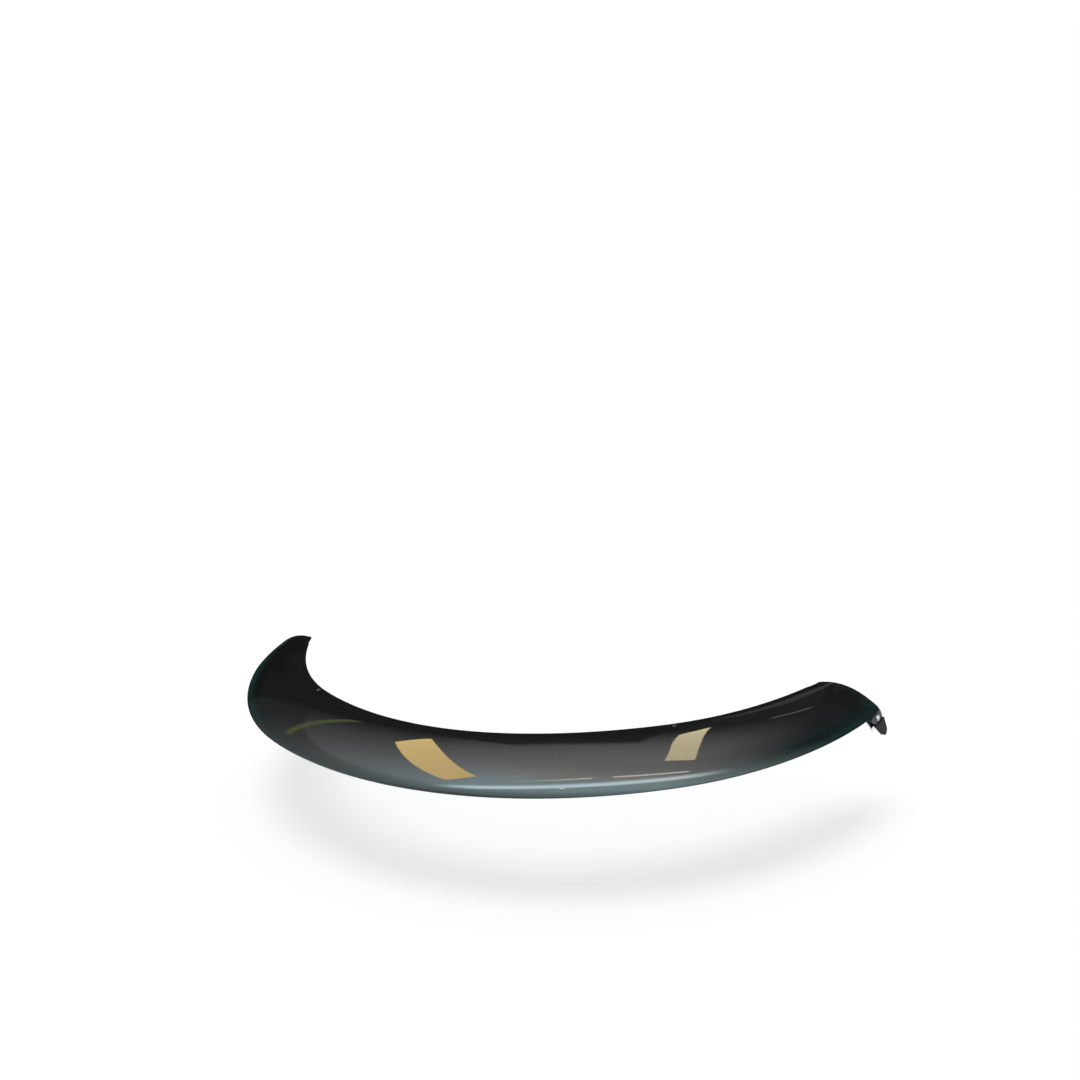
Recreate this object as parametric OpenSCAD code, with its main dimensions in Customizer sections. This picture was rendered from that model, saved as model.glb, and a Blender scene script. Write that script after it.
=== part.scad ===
/* Sunroof wind deflector. A smoked acrylic shield stands on the roof in front of the opening,
   and a clamp bracket under the rear end of each arm holds it.
   X is across the car, -Y is its front and +Z is up. The roof is the plane z = 0, and the
   origin is the middle of the front seal's underside. Left and right are those of someone who
   stands in front of the car and looks back at it, so right is +X. */

/* [Lower edge of the shield] */
// Radius of the front stretch, seen from above
front_r = 582; // [500:1:660]
// Heading at the end of the front stretch, in degrees off the X axis
front_a = 30; // [26:1:34]
// Radius of the shoulders
shoulder_r = 358; // [310:1:410]
// Heading at the end of the shoulders
shoulder_a = 73; // [68:1:78]
// Radius of the arms
arm_r = 133; // [110:1:170]
// Heading at the rear end of the arms
arm_a = 97; // [92:1:100]

/* [Section of the shield] */
// Thickness of the sheet
sheet_t = 3; // [2.5:0.1:4]
// How far the sheet leans in over the opening at the nose
nose_run = 71; // [62:1:80]
// The same at the shoulders
shoulder_run = 86; // [78:1:94]
// The same at the arm ends
end_run = 75; // [73:1:84]
// Height of the crest at the nose
nose_rise = 53; // [46:1:62]
// Height of the crest at the shoulders
shoulder_rise = 45; // [41:1:50]
// Height of the crest at the arm ends
end_rise = 33; // [30:0.5:38]
// Slope of the lip where it leaves the roof at the nose, in degrees
nose_lip_a = 92; // [88:1:95]
// The same at the arm ends
end_lip_a = 45; // [40:1:60]
// Reach of the lip's roll at the nose
nose_lip = 20; // [14:1:26]
// Reach of the lip's roll at the arm ends
end_lip = 19; // [14:1:24]
// Slope of the crest at the nose
nose_crest_a = 4; // [0:1:12]
// Slope of the crest at the arm ends
end_crest_a = -8; // [-12:1:0]
// Reach of the bend at the crest at the nose
nose_crest = 20; // [16:1:26]
// Reach of the bend at the crest at the arm ends
end_crest = 38; // [30:1:44]

/* [Seals] */
// Width of the foam seals
seal_w = 9; // [7:0.5:12]
// Height of the foam seals
seal_h = 7; // [5:0.5:8]
// Gap between the sheet and the seals behind it
seal_gap = 0.5; // [0.4:0.1:0.8]
// Length of the front seal, from the nose to each end
front_seal_len = 290; // [240:5:320]
// Gap between the front seal and the arm seals
seal_split = 4; // [2:1:8]
// Distance from the arm seals to the arm ends
seal_back = 52; // [48:1:70]

/* [Bosses and fixings] */
// Distance of the bosses from the arm ends, along the edge
boss_back = 22; // [20:1:26]
// How far in from the edge the outer boss is
outer_boss_run = 38; // [37:0.5:40]
// Spacing of the two bosses
boss_pitch = 20; // [18:1:22]
// Diameter of a boss
boss_d = 12; // [11:0.5:14]
// Outer diameter of a threaded insert
insert_d = 6.4; // [6:0.1:7]
// Length of a threaded insert
insert_len = 6; // [5:0.5:7]
// Diameter of the fixing screws
fixing_d = 4; // [4:0.5:5]
// Head diameter of the fixing screws
fixing_head_d = 8; // [7:0.5:9]
// Head height of the fixing screws
fixing_head_h = 2.6; // [2:0.1:3.2]
// Diameter of the washers
washer_d = 11; // [10:0.5:12]
// Thickness of the washers
washer_t = 1; // [0.8:0.1:1.5]

/* [Bracket] */
// Thickness of the bracket's sheet steel
steel_t = 2.5; // [2:0.1:3]
// Height of the bracket's tab above the roof
tab_z = 16; // [14:0.5:17]
// How far the tab reaches in front of the bosses
tab_front = 13; // [12:1:16]
// How far the tab reaches in past the inner boss
tab_margin = 7.5; // [7:0.5:9]
// Size of the clipped corner at the tab's rear
tab_clip = 5; // [3:0.5:6]
// Distance from the edge of the shield to the bracket's web
web_run = 28.5; // [27:0.5:29.5]
// Gap between the shield's edge and the bracket's bridge below it
bridge_gap = 0.8; // [0.4:0.1:1.2]
// How far the leg's outer face lies outside the shield's edge
leg_out = 1; // [0:0.5:2]
// How far the leg's top reaches behind the arm's rear corner
leg_back = 1; // [0:0.5:2]
// Depth of the leg's tip below the roof
leg_depth = 42; // [38:1:46]
// How far the middle of the tip lies behind the leg's top
tip_back = 9; // [7:0.5:11]
// Radius of the leg's tip
tip_r = 4.5; // [4:0.5:6]
// Free travel of the bracket in its slots, each way
slot_travel = 4; // [2:0.5:5]
// Wall of the rubber boot on the leg
boot_wall = 1.5; // [1:0.1:2]
// Depth of the boot's upper rim below the roof
boot_top = 18; // [17:0.5:22]

/* [Clamp] */
// Open gap between the jaw's pad and the leg's boot
mouth_gap = 5.5; // [5:0.5:7]
// Thickness of the jaw
jaw_t = 2.5; // [2:0.1:3]
// How far the jaw's front lies behind the leg's, at their tops
jaw_front = 4.5; // [3:0.5:6]
// How far the jaw's tip lies in front of the leg's tip
jaw_tip_front = 5; // [4:0.5:7]
// Depth of the jaw's tip below the roof
jaw_depth = 38; // [35:1:41]
// Radius of the jaw's tip
jaw_tip_r = 6; // [5:0.5:7]
// Depth of the bend that flares the jaw's foot
bend_depth = 28; // [27:0.5:30]
// How far the jaw's foot flares inboard
flare = 2; // [1:0.5:3]
// Thickness of the rubber pad on the jaw
pad_t = 1.5; // [1:0.1:2]
// Length of the pad, along the car
pad_len = 13; // [11:0.5:14]
// Bare steel above and below the pad
pad_margin = 1; // [0.5:0.5:2]
// Gap between the jaw's upper edge and the bracket's bridge
jaw_gap = 0.5; // [0.3:0.1:1]
// Diameter of the clamp screw
clamp_d = 5; // [4:0.5:6]
// Distance of the clamp screw from the rear corner of the leg's top
clamp_in = 10.5; // [9:0.5:12]
// Depth of the clamp screw's axis below the roof
clamp_z = 10.5; // [10:0.5:11.5]
// Head diameter of the clamp screw
clamp_head_d = 8.5; // [8:0.5:9.5]
// Head height of the clamp screw
clamp_head_h = 4.5; // [4:0.5:5]
// Width across the corners of the hexagon socket
socket_d = 4.6; // [4:0.1:5]
// Depth of the hexagon socket
socket_depth = 2.6; // [2:0.1:3]
// How far the clamp screw shows past the leg
screw_end = 1.5; // [1:0.1:3]
// Diameter of the nut's flange and of the retaining clip
nut_d = 8; // [7.5:0.5:9]
// Diameter of the clinch nut's barrel, which passes through the leg
nut_barrel_d = 6.5; // [6.3:0.1:7]
// Thickness of the nut's flange
nut_flange_t = 1; // [0.8:0.1:1.4]
// Thickness of the retaining clip
clip_t = 0.8; // [0.6:0.1:1]

/* [Glass bumpers] */
// Distance of the bumpers from the nose, along the lower edge
bumper_along = 320; // [280:5:400]
// Distance of the bumpers from the crest, as a share of the section
bumper_share = 0.935; // [0.9:0.005:0.945]
// Diameter of a bumper's button
button_d = 6; // [5:0.5:8]
// Thickness of a bumper's button
button_t = 1.2; // [0.8:0.1:1.6]
// Diameter of a bumper's stem
stem_d = 3.6; // [3:0.1:4]
// Diameter of a bumper's cushion
cushion_d = 9; // [8:0.5:11]
// Height of a bumper's cushion
cushion_h = 5; // [4:0.5:7]
// How much narrower a bumper's cushion is at its foot
cushion_taper = 2; // [1:0.5:3]
// Room between the sheet and a bumper's button and cushion
bumper_gap = 0.3; // [0.3:0.05:0.5]

/* [Hidden] */
$fn = 48;
// A hair of room between flat faces that slide, and round a thread
slip = 0.05;
// How far a cut runs past the faces that it opens
past = 1;
// Width of a fixing screw's cross recess, and its length as a share of the head
recess_w = 1;
recess_share = 0.6;
// Steps of the mesh along each half of the shield and across it
along_steps = 24;
across_steps = 12;
boss_steps = 6;
// Steps along a seal and round a plate's tip
seal_steps = 16;
tip_steps = 12;

function arc_len(r, a0, a1) = r * (a1 - a0) * PI / 180;
function arc_step(r, a0, a1) = r * [sin(a1) - sin(a0), cos(a0) - cos(a1)];
function between(v, low, high) = max(low, min(v, high));
front_len = arc_len(front_r, 0, front_a);
shoulder_len = arc_len(shoulder_r, front_a, shoulder_a);
arm_len = arc_len(arm_r, shoulder_a, arm_a);
edge_len = front_len + shoulder_len + arm_len;

// Places along the lower edge, by their distance d from the nose
function heading(d) =
    d < front_len ? d / front_r * 180 / PI
    : d < front_len + shoulder_len ? front_a + (d - front_len) / shoulder_r * 180 / PI
    : shoulder_a + (d - front_len - shoulder_len) / arm_r * 180 / PI;
function edge_at(d) =
    let (h = heading(d))
    [0, -(seal_run(0) + seal_w / 2)]
    + arc_step(front_r, 0, min(h, front_a))
    + arc_step(shoulder_r, front_a, between(h, front_a, shoulder_a))
    + arc_step(arm_r, shoulder_a, max(h, shoulder_a));
function inward(d) = [-sin(heading(d)), cos(heading(d))];

// The section at d is a cubic curve in [distance in from the edge, height]
function blend(u, nose, shoulder, end) =
    let (s = 8 * (shoulder - nose), e = end - nose)
    nose + (s - e) * u * u + (2 * e - s) * u * u * u;
function ramp(u, nose, end) = nose + (end - nose) * u * u * (3 - 2 * u);
function ray(a) = [cos(a), sin(a)];
function controls(d) =
    let (
        u = d / edge_len,
        crest = [blend(u, nose_run, shoulder_run, end_run),
                 blend(u, nose_rise, shoulder_rise, end_rise)]
    )
    [
        [0, 0],
        ramp(u, nose_lip, end_lip) * ray(ramp(u, nose_lip_a, end_lip_a)),
        crest - ramp(u, nose_crest, end_crest) * ray(ramp(u, nose_crest_a, end_crest_a)),
        crest
    ];
function section(d, t) =
    let (p = controls(d), s = 1 - t)
    s * s * s * p[0] + 3 * s * s * t * p[1] + 3 * s * t * t * p[2] + t * t * t * p[3];
function section_slope(d, t) =
    let (
        p = controls(d),
        s = 1 - t,
        v = s * s * (p[1] - p[0]) + 2 * s * t * (p[2] - p[1]) + t * t * (p[3] - p[2])
    )
    atan2(v[1], v[0]);
function section_under(d, t, depth) =
    let (a = section_slope(d, t))
    section(d, t) + depth * [sin(a), -cos(a)];
// The share t at which the section is w in from the edge
function share_at(d, w, low = 0, high = 1, tries = 24) =
    let (mid = (low + high) / 2)
    tries == 0 ? mid
    : section(d, mid)[0] < w ? share_at(d, w, mid, high, tries - 1)
    : share_at(d, w, low, mid, tries - 1);
// How far in from the edge a seal starts, clear of the sheet's inner face over its height
function share_under(d, z, low = 0, high = 1, tries = 24) =
    let (mid = (low + high) / 2)
    tries == 0 ? mid
    : section_under(d, mid, sheet_t)[1] < z ? share_under(d, z, mid, high, tries - 1)
    : share_under(d, z, low, mid, tries - 1);
function seal_run(d) = section_under(d, share_under(d, seal_h), sheet_t)[0] + seal_gap;
// The sheet's inner face, cut flat on the roof at its lower edge
function inner_face(d, t) =
    let (p = section_under(d, t, sheet_t))
    [p[0], max(0, p[1])];
// A section point in space, on the right for side = 1 and on the left for side = -1
function place(d, p, side = 1) =
    let (q = edge_at(d) + p[0] * inward(d))
    [side * q[0], q[1], p[1]];

arm_end = edge_at(edge_len);
boss_d_along = edge_len - boss_back;
boss_runs = [outer_boss_run, outer_boss_run + boss_pitch];
bosses = [for (w = boss_runs) edge_at(boss_d_along) + w * inward(boss_d_along)];

// Bracket and clamp, all for the right side
tab_y = bosses[0][1] - tab_front;
tab_in_x = bosses[1][0] - tab_margin;
tab_out_x = arm_end[0] - web_run + steel_t;
leg_x = arm_end[0] + leg_out;
leg_rear_y = arm_end[1] + leg_back;
bracket_w = leg_rear_y - tab_y;
bridge_z = -bridge_gap;
jaw_x = leg_x - steel_t - boot_wall - mouth_gap - pad_t;
jaw_top = bridge_z - steel_t - jaw_gap;
clamp_y = leg_rear_y - clamp_in;
clamp_room_d = clamp_d + 2 * slip;
head_x = jaw_x - jaw_t - washer_t - slip;
pad_top = clamp_z + nut_d / 2 + pad_margin;
pad_bottom = bend_depth - pad_margin;

// Both sides of a shape made for the right
module both_sides() {
    children();
    mirror([1, 0, 0]) children();
}

// A shape turned to lie along X, with its own Z to the outside
module along_x(x, y, z) {
    translate([x, y, z]) rotate([0, 90, 0]) children();
}

// A closed skin from one ring of points for each section
module skin(rings) {
    ring_n = len(rings[0]);
    last = len(rings) - 1;
    faces = concat(
        [for (i = [0 : last - 1], j = [0 : ring_n - 1])
            let (a = i * ring_n + j, b = i * ring_n + (j + 1) % ring_n)
            [a, b, b + ring_n]],
        [for (i = [0 : last - 1], j = [0 : ring_n - 1])
            let (a = i * ring_n + j, b = i * ring_n + (j + 1) % ring_n)
            [a, b + ring_n, a + ring_n]],
        [[for (j = [ring_n - 1 : -1 : 0]) j]],
        [[for (j = [0 : ring_n - 1]) last * ring_n + j]]
    );
    polyhedron(points = [for (ring = rings, p = ring) p], faces = faces, convexity = 6);
}

module sheet() {
    skin([for (i = [-along_steps : along_steps])
        let (d = abs(i) / along_steps * edge_len, side = i < 0 ? -1 : 1)
        concat(
            [for (j = [0 : across_steps])
                place(d, section(d, j / across_steps), side)],
            [for (j = [across_steps : -1 : 0])
                place(d, inner_face(d, j / across_steps), side)]
        )]);
}

// The room from the bosses' feet up into the middle of the sheet
module boss_room() {
    // Wide enough for the bosses on the inside of the arm's bend
    runs = [boss_runs[0] - boss_d * 0.75, boss_runs[1] + boss_d * 0.75];
    shares = [for (w = runs) share_at(boss_d_along, w)];
    skin([for (i = [-boss_steps : boss_steps])
        let (
            d = boss_d_along + i / boss_steps * boss_d,
            middle = [for (j = [0 : boss_steps])
                section_under(d, shares[0] + (shares[1] - shares[0]) * j / boss_steps, sheet_t / 2)]
        )
        concat(
            [for (p = middle) place(d, p)],
            [for (j = [boss_steps : -1 : 0]) place(d, [middle[j][0], tab_z + slip])]
        )]);
}

// Places a bumper with its own Z square to the sheet, pointing out of it
module at_bumper() {
    a = section_slope(bumper_along, bumper_share);
    h = heading(bumper_along);
    points = [for (d = [bumper_along - 1, bumper_along, bumper_along + 1])
        place(d, section(d, bumper_share))];
    along = points[2] - points[0];
    forward = along * [cos(h), sin(h), 0];
    // Turns the tangent plane's across direction into its fall along the edge
    fall = atan2(along * [-sin(h), cos(h), 0] * sin(a) - along[2] * cos(a), forward);
    translate(points[1])
        rotate([0, 0, h])
            rotate([a, 0, 0])
                rotate([0, fall, 0])
                    children();
}

module deflector_shield() {
    color([0.09, 0.11, 0.11])
    difference() {
        union() {
            sheet();
            both_sides()
                intersection() {
                    boss_room();
                    for (b = bosses)
                        translate([b[0], b[1], tab_z]) cylinder(d = boss_d, h = nose_rise);
                }
        }
        both_sides() {
            for (b = bosses)
                translate([b[0], b[1], tab_z])
                    cylinder(d = insert_d, h = insert_len + slip + past);
            at_bumper()
                translate([0, 0, -sheet_t * 2]) cylinder(d = stem_d + 2 * slip, h = sheet_t * 4);
        }
    }
}

// A seal behind the lip, from one distance along the edge to another
module seal(from, to) {
    stops = [for (i = [0 : seal_steps]) from + (to - from) * i / seal_steps];
    function side_point(d, w) =
        let (q = edge_at(abs(d)) + (seal_run(abs(d)) + w) * inward(abs(d)))
        [sign(d) * q[0], q[1]];
    linear_extrude(seal_h)
        polygon(concat(
            [for (d = stops) side_point(d, 0)],
            [for (i = [seal_steps : -1 : 0]) side_point(stops[i], seal_w)]
        ));
}

module front_seal() {
    color([0.05, 0.05, 0.05]) seal(-front_seal_len, front_seal_len);
}

module arm_seal() {
    color([0.05, 0.05, 0.05]) seal(front_seal_len + seal_split, edge_len - seal_back);
}

module boss_inserts() {
    color([0.72, 0.56, 0.26])
    both_sides()
        for (b = bosses)
            translate([b[0], b[1], tab_z + slip])
                difference() {
                    cylinder(d = insert_d, h = insert_len);
                    translate([0, 0, -past])
                        cylinder(d = fixing_d + 2 * slip, h = insert_len + 2 * past);
                }
}

module fixing_washers() {
    color([0.75, 0.76, 0.78])
    both_sides()
        for (b = bosses)
            translate([b[0], b[1], tab_z - steel_t - slip - washer_t])
                difference() {
                    cylinder(d = washer_d, h = washer_t);
                    translate([0, 0, -past])
                        cylinder(d = fixing_d + 2 * slip, h = washer_t + 2 * past);
                }
}

module fixing_screws() {
    seat_z = tab_z - steel_t - slip - washer_t;
    color([0.62, 0.63, 0.65])
    both_sides()
        for (b = bosses)
            translate([b[0], b[1], seat_z])
                difference() {
                    union() {
                        cylinder(d = fixing_d, h = tab_z + insert_len - seat_z);
                        translate([0, 0, -fixing_head_h])
                            cylinder(d = fixing_head_d, h = fixing_head_h);
                    }
                    for (turn = [0, 90])
                        rotate([0, 0, turn])
                            translate([
                                -fixing_head_d * recess_share / 2,
                                -recess_w / 2,
                                -fixing_head_h - past
                            ])
                                cube([
                                    fixing_head_d * recess_share,
                                    recess_w,
                                    past + fixing_head_h / 2
                                ]);
                }
}

module glass_bumpers() {
    color([0.55, 0.57, 0.58])
    both_sides()
        at_bumper() {
            translate([0, 0, bumper_gap])
                cylinder(d1 = button_d, d2 = button_d - button_t, h = button_t);
            translate([0, 0, -sheet_t - cushion_h])
                cylinder(d = stem_d, h = sheet_t + cushion_h + button_t);
            translate([0, 0, -sheet_t - bumper_gap - cushion_h])
                cylinder(d1 = cushion_d - cushion_taper, d2 = cushion_d, h = cushion_h);
        }
}

// A raked plate with a round tip, seen along X: [depth, y]. Its top runs from front to rear
module fin(front, rear, tip, r, grow = 0) {
    function edge_out(top, side) =
        let (run = tip - top)
        atan2(run[1], run[0]) + side * (90 + asin(r / norm(run)));
    front_out = edge_out(front, -1);
    rear_out = edge_out(rear, 1);
    polygon(concat(
        [front + grow * ray(front_out), rear + grow * ray(rear_out)],
        [for (i = [0 : tip_steps])
            tip + (r + grow) * ray(rear_out + (front_out - rear_out) * i / tip_steps)]
    ));
}

module leg_fin(grow) {
    fin([0, tab_y], [0, leg_rear_y],
        [leg_depth - bridge_gap - tip_r, leg_rear_y + tip_back], tip_r, grow);
}

module jaw_fin() {
    fin([0, tab_y + jaw_front], [0, leg_rear_y],
        [jaw_depth + jaw_top - jaw_tip_r, leg_rear_y + tip_back - jaw_tip_front], jaw_tip_r);
}

module bracket() {
    color([0.04, 0.04, 0.045])
    difference() {
        union() {
            translate([0, 0, tab_z - steel_t])
                linear_extrude(steel_t)
                    polygon([
                        [tab_out_x, tab_y],
                        [tab_out_x, tab_y + 2 * tab_front],
                        [tab_in_x + tab_clip, tab_y + 2 * tab_front],
                        [tab_in_x, tab_y + 2 * tab_front - tab_clip],
                        [tab_in_x, tab_y]
                    ]);
            translate([tab_out_x - steel_t, tab_y, bridge_z - steel_t])
                cube([steel_t, bracket_w, tab_z - bridge_z + steel_t]);
            translate([tab_out_x - steel_t, tab_y, bridge_z - steel_t])
                cube([leg_x - tab_out_x + steel_t, bracket_w, steel_t]);
            along_x(leg_x - steel_t, 0, bridge_z) linear_extrude(steel_t) leg_fin(0);
        }
        for (b = bosses)
            translate([b[0], b[1], tab_z - steel_t - past])
                linear_extrude(steel_t + 2 * past) {
                    for (end = [-1, 1])
                        translate([0, end * slot_travel]) circle(d = fixing_d + 0.4);
                    square([fixing_d + 0.4, 2 * slot_travel], center = true);
                }
        along_x(leg_x - steel_t - past, clamp_y, -clamp_z)
            cylinder(d = nut_barrel_d, h = steel_t + 2 * past);
    }
}

module leg_boot() {
    color([0.03, 0.03, 0.03])
    difference() {
        along_x(leg_x - steel_t - boot_wall, 0, bridge_z)
            linear_extrude(steel_t + 2 * boot_wall) leg_fin(boot_wall);
        along_x(leg_x - steel_t, 0, bridge_z) linear_extrude(steel_t) leg_fin(0);
        translate([leg_x - leg_depth, tab_y - leg_depth, -boot_top])
            cube([2 * leg_depth, 3 * leg_depth, boot_top + steel_t]);
    }
}

module clinch_nut() {
    color([0.72, 0.73, 0.75])
    along_x(leg_x - steel_t, clamp_y, -clamp_z)
        difference() {
            union() {
                cylinder(d = nut_barrel_d, h = steel_t);
                translate([0, 0, steel_t]) cylinder(d = nut_d, h = nut_flange_t);
            }
            translate([0, 0, -past]) cylinder(d = clamp_room_d, h = steel_t + nut_flange_t + 2 * past);
        }
}

module clamp_jaw() {
    color([0.78, 0.82, 0.84])
    difference() {
        intersection() {
            translate([0, leg_rear_y + leg_depth, 0])
                rotate([90, 0, 0])
                    linear_extrude(3 * leg_depth)
                        polygon([
                            [jaw_x, jaw_top],
                            [jaw_x, -bend_depth],
                            [jaw_x - flare, -jaw_depth],
                            [jaw_x - flare - jaw_t, -jaw_depth],
                            [jaw_x - jaw_t, -bend_depth],
                            [jaw_x - jaw_t, jaw_top]
                        ]);
            along_x(jaw_x - flare - 2 * jaw_t, 0, jaw_top)
                linear_extrude(flare + 3 * jaw_t) jaw_fin();
        }
        along_x(jaw_x - jaw_t - past, clamp_y, -clamp_z)
            cylinder(d = clamp_room_d, h = jaw_t + 2 * past);
    }
}

module jaw_pad() {
    color([0.03, 0.03, 0.03])
    translate([jaw_x, clamp_y, -pad_bottom])
        cube([pad_t, pad_len, pad_bottom - pad_top]);
}

module clamp_screw() {
    color([0.66, 0.68, 0.7])
    along_x(head_x - clamp_head_h, clamp_y, -clamp_z)
        difference() {
            union() {
                cylinder(d = clamp_head_d, h = clamp_head_h);
                cylinder(d = clamp_d, h = leg_x + screw_end - head_x + clamp_head_h);
            }
            translate([0, 0, -past]) cylinder(d = socket_d, h = socket_depth + past, $fn = 6);
        }
}

module thrust_washer() {
    color([0.85, 0.85, 0.82])
    along_x(head_x, clamp_y, -clamp_z)
        difference() {
            cylinder(d = clamp_head_d, h = washer_t);
            translate([0, 0, -past]) cylinder(d = clamp_room_d, h = washer_t + 2 * past);
        }
}

module screw_clip() {
    color([0.5, 0.51, 0.53])
    along_x(jaw_x + slip, clamp_y, -clamp_z)
        difference() {
            cylinder(d = nut_d, h = clip_t);
            translate([0, 0, -past]) cylinder(d = clamp_room_d, h = clip_t + 2 * past);
        }
}

module left() {
    mirror([1, 0, 0]) children();
}

deflector_shield();
front_seal();
left() arm_seal();  // arm_seal_left
arm_seal();  // arm_seal_right
boss_inserts();
fixing_screws();
fixing_washers();
glass_bumpers();
left() bracket();  // bracket_left
bracket();  // bracket_right
left() leg_boot();  // leg_boot_left
leg_boot();  // leg_boot_right
left() clinch_nut();  // clinch_nut_left
clinch_nut();  // clinch_nut_right
left() clamp_jaw();  // clamp_jaw_left
clamp_jaw();  // clamp_jaw_right
left() jaw_pad();  // jaw_pad_left
jaw_pad();  // jaw_pad_right
left() clamp_screw();  // clamp_screw_left
clamp_screw();  // clamp_screw_right
left() thrust_washer();  // thrust_washer_left
thrust_washer();  // thrust_washer_right
left() screw_clip();  // screw_clip_left
screw_clip();  // screw_clip_right
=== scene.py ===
import functools
import math

import bmesh
import bpy
import numpy as np
from mathutils import Matrix, Vector
from mathutils.bvhtree import BVHTree


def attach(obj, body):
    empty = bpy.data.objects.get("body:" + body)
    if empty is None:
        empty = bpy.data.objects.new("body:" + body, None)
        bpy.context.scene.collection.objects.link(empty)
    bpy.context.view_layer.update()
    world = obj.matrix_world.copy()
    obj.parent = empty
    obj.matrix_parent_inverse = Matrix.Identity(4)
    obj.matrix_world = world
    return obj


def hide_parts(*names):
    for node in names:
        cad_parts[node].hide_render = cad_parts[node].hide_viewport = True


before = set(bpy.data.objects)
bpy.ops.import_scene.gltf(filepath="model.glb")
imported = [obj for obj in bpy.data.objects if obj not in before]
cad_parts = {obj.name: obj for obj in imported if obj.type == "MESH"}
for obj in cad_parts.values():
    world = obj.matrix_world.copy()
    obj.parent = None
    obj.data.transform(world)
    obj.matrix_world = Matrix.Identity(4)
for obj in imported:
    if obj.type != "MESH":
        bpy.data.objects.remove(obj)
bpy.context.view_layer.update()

MM = 0.001
SIDES = {"right": 1, "left": -1}

# ---------------------------------------------------------------- the shield's form, in mm
FRONT_R, FRONT_A = 582.0, 30.0
SHOULDER_R, SHOULDER_A = 358.0, 73.0
ARM_R, ARM_A = 133.0, 97.0
SHEET_T = 3.0
NOSE = {"run": 71.0, "rise": 53.0, "lip_a": 92.0, "lip": 20.0, "crest_a": 4.0, "crest": 20.0}
SHOULDER = {"run": 86.0, "rise": 45.0}
END = {"run": 75.0, "rise": 33.0, "lip_a": 45.0, "lip": 19.0, "crest_a": -8.0, "crest": 38.0}
SEAL_W, SEAL_H, SEAL_GAP = 9.0, 7.0, 0.5
FRONT_SEAL_LEN, SEAL_SPLIT, SEAL_BACK = 290.0, 4.0, 52.0


def arc_length(r, a0, a1):
    return r * math.radians(a1 - a0)


def arc_step(r, a0, a1):
    a0, a1 = math.radians(a0), math.radians(a1)
    return np.array([r * (math.sin(a1) - math.sin(a0)), r * (math.cos(a0) - math.cos(a1))])


FRONT_LEN = arc_length(FRONT_R, 0, FRONT_A)
SHOULDER_LEN = arc_length(SHOULDER_R, FRONT_A, SHOULDER_A)
EDGE_LEN = FRONT_LEN + SHOULDER_LEN + arc_length(ARM_R, SHOULDER_A, ARM_A)


def heading(d):
    if d < FRONT_LEN:
        return math.degrees(d / FRONT_R)
    if d < FRONT_LEN + SHOULDER_LEN:
        return FRONT_A + math.degrees((d - FRONT_LEN) / SHOULDER_R)
    return SHOULDER_A + math.degrees((d - FRONT_LEN - SHOULDER_LEN) / ARM_R)


def edge_at(d):
    h = heading(d)
    return (
        np.array([0.0, -(seal_run(0) + SEAL_W / 2)])
        + arc_step(FRONT_R, 0, min(h, FRONT_A))
        + arc_step(SHOULDER_R, FRONT_A, min(max(h, FRONT_A), SHOULDER_A))
        + arc_step(ARM_R, SHOULDER_A, max(h, SHOULDER_A))
    )


def inward(d):
    h = math.radians(heading(d))
    return np.array([-math.sin(h), math.cos(h)])


def blend(u, nose, shoulder, end):
    s, e = 8 * (shoulder - nose), end - nose
    return nose + (s - e) * u * u + (2 * e - s) * u ** 3


def ramp(u, nose, end):
    return nose + (end - nose) * u * u * (3 - 2 * u)


def ray(a):
    a = math.radians(a)
    return np.array([math.cos(a), math.sin(a)])


def controls(d):
    u = d / EDGE_LEN
    crest = np.array([blend(u, NOSE[k], SHOULDER[k], END[k]) for k in ("run", "rise")])
    lip = ramp(u, NOSE["lip"], END["lip"]) * ray(ramp(u, NOSE["lip_a"], END["lip_a"]))
    reach = ramp(u, NOSE["crest"], END["crest"]) * ray(ramp(u, NOSE["crest_a"], END["crest_a"]))
    return [np.zeros(2), lip, crest - reach, crest]


def section(d, t):
    p, s = controls(d), 1 - t
    return s ** 3 * p[0] + 3 * s * s * t * p[1] + 3 * s * t * t * p[2] + t ** 3 * p[3]


def section_slope(d, t):
    p, s = controls(d), 1 - t
    v = s * s * (p[1] - p[0]) + 2 * s * t * (p[2] - p[1]) + t * t * (p[3] - p[2])
    return math.degrees(math.atan2(v[1], v[0]))


def section_under(d, t, depth=SHEET_T):
    a = math.radians(section_slope(d, t))
    return section(d, t) + depth * np.array([math.sin(a), -math.cos(a)])


@functools.cache
def seal_run(d):
    """How far in the seal starts, just behind the sheet's underside at the seal's height."""
    low, high = 0.0, 1.0
    for _ in range(24):
        mid = (low + high) / 2
        low, high = (mid, high) if section_under(d, mid)[1] < SEAL_H else (low, mid)
    return section_under(d, low)[0] + SEAL_GAP


def place(d, p):
    """A section point at the signed distance d along the lower edge, in mm."""
    q = edge_at(abs(d)) + p[0] * inward(abs(d))
    return (math.copysign(1, d) * q[0], q[1], p[1])


# Bosses, brackets and clamps, right side, in mm
SLIP = 0.05
ARM_END = edge_at(EDGE_LEN)
BOSS_AT = EDGE_LEN - 22.0
BOSSES = [edge_at(BOSS_AT) + run * inward(BOSS_AT) for run in (38.0, 58.0)]
BOSS_D, INSERT_LEN = 12.0, 6.0
STEEL_T = 2.5
TAB_Z, TAB_FRONT, TAB_MARGIN, TAB_CLIP = 16.0, 13.0, 7.5, 5.0
TAB_Y, TAB_LEN = BOSSES[0][1] - TAB_FRONT, 2 * TAB_FRONT
TAB_IN_X = BOSSES[1][0] - TAB_MARGIN
TAB_OUT_X = ARM_END[0] - 28.5 + STEEL_T
SLOT_D, SLOT_TRAVEL = 4.4, 4.0
BRIDGE_Z = -0.8
LEG_X, LEG_REAR_Y = ARM_END[0] + 1.0, ARM_END[1] + 1.0
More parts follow.
